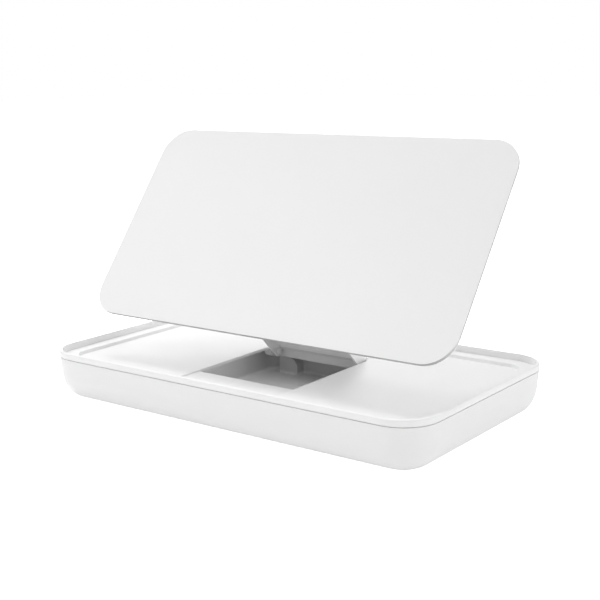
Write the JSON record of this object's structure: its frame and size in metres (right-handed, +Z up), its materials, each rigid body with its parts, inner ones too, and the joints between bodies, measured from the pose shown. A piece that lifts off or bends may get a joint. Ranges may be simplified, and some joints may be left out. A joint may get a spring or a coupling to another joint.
{
  "type": "portable drawing board",
  "caption": "Portable drawing board: a flat storage case with rounded corners whose lid carries a tilting drawing surface on a folding flanged stand.",
  "frame": {"origin": "on the ground plane under the feet, at the middle of the case in plan", "axes": "+Z up, +Y towards the back of the case, +X along its long side to the right of the person drawing"},
  "size_m": [0.42, 0.236, 0.2486],
  "materials": {
    "case_plastic": "fine satin moulded texture, warm-free white",
    "stand_plastic": "fine satin moulded texture, white",
    "board_plastic": "fine satin moulded texture, white",
    "drawing_surface": "smooth satin white sheet",
    "bush_plastic": "natural acetal",
    "foot_rubber": "matt light grey rubber",
    "bumper_rubber": "matt light grey rubber",
    "pin_steel": "turned",
    "washer_steel": "spring steel",
    "bracket_steel": "zinc plated",
    "screw_steel": "zinc plated",
    "stiffener_aluminium": "mill finish sheet",
    "magnet_nickel": "nickel plated"
  },
  "bodies": {
    "base": {"base_tray": "case_plastic", "rubber_feet": "foot_rubber", "base_magnets": "magnet_nickel"},
    "lid": {"lid": "case_plastic", "lid_magnets": "magnet_nickel", "stand_hinge_pin_right": "pin_steel", "stand_hinge_pin_left": "pin_steel", "stand_hinge_spacers": "bush_plastic", "stand_hinge_washers": "washer_steel"},
    "stand": {"stand_plate": "stand_plastic", "stand_lower_bushes": "bush_plastic", "stand_upper_bushes": "bush_plastic"},
    "board": {"board_face_sheet": "drawing_surface", "board_back_panel": "board_plastic", "board_stiffener": "stiffener_aluminium", "board_bracket_right": "bracket_steel", "board_bracket_left": "bracket_steel", "board_bracket_screws": "screw_steel", "board_hinge_pin_right": "pin_steel", "board_hinge_pin_left": "pin_steel", "board_hinge_washers": "washer_steel", "board_bumpers": "bumper_rubber"}
  },
  "joints": [
    {"name": "lid_lift", "type": "slide", "parent": "base", "child": "lid", "axis": [0, 0, 1], "range_m": [0, 0.06]},
    {"name": "stand_hinge", "type": "hinge", "parent": "lid", "child": "stand", "pos_m": [0, 0.0448, 0.0336], "axis": [1, 0, 0], "range_deg": [-10, 46]},
    {"name": "board_hinge", "type": "hinge", "parent": "stand", "child": "board", "pos_m": [0, -0.02516, 0.11057], "axis": [1, 0, 0], "range_deg": [-98.8, 21.6]}
  ],
  "couplings": [
    {"joint": "board_hinge", "follows": "stand_hinge", "ratio": -2.1446}
  ]
}
